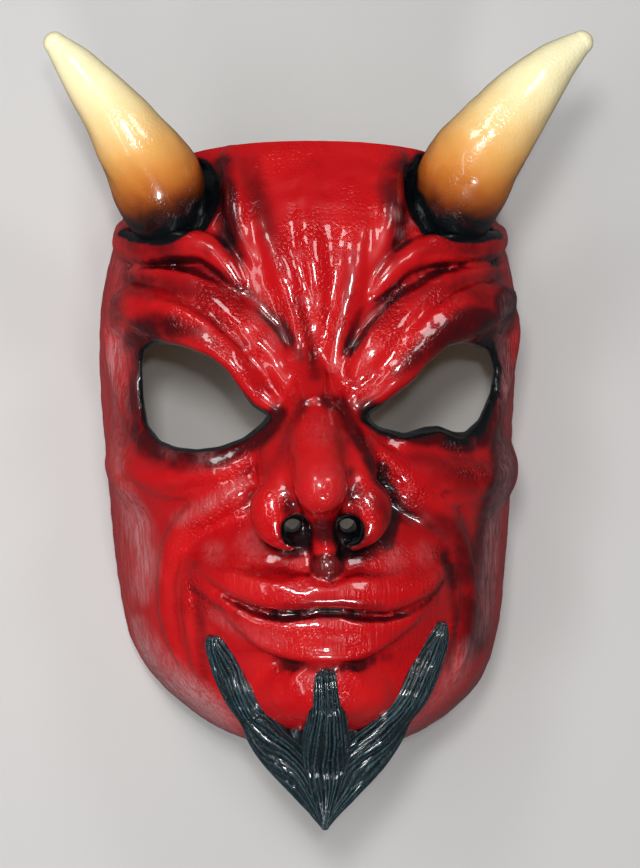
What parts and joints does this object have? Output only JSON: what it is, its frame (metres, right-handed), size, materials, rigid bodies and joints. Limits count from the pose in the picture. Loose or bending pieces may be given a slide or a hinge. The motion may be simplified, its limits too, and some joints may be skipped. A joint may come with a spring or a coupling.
{
  "type": "krampus devil mask",
  "caption": "Cast latex devil face mask with curved horns, scowling brow folds, hooked nose and a pronged goatee; open at the back, the top and the neck, with eye holes to look through",
  "frame": {"origin": "middle of the bounding box in X and Y, on the plane of the open back rim, which is the floor when the mask lies face up", "axes": "+X to the viewer's right, +Y up the face toward the horns, +Z out of the face"},
  "size_m": [0.1827, 0.2665, 0.1295],
  "materials": {
    "red_latex": "glossy paint on cast latex, shaded black in the creases",
    "horn_latex": "glossy airbrushed paint on cast latex, cream tip to dark brown root"
  },
  "bodies": {
    "root": {"face_shell": "red_latex", "horn_left": "horn_latex", "horn_right": "horn_latex"}
  },
  "joints": []
}
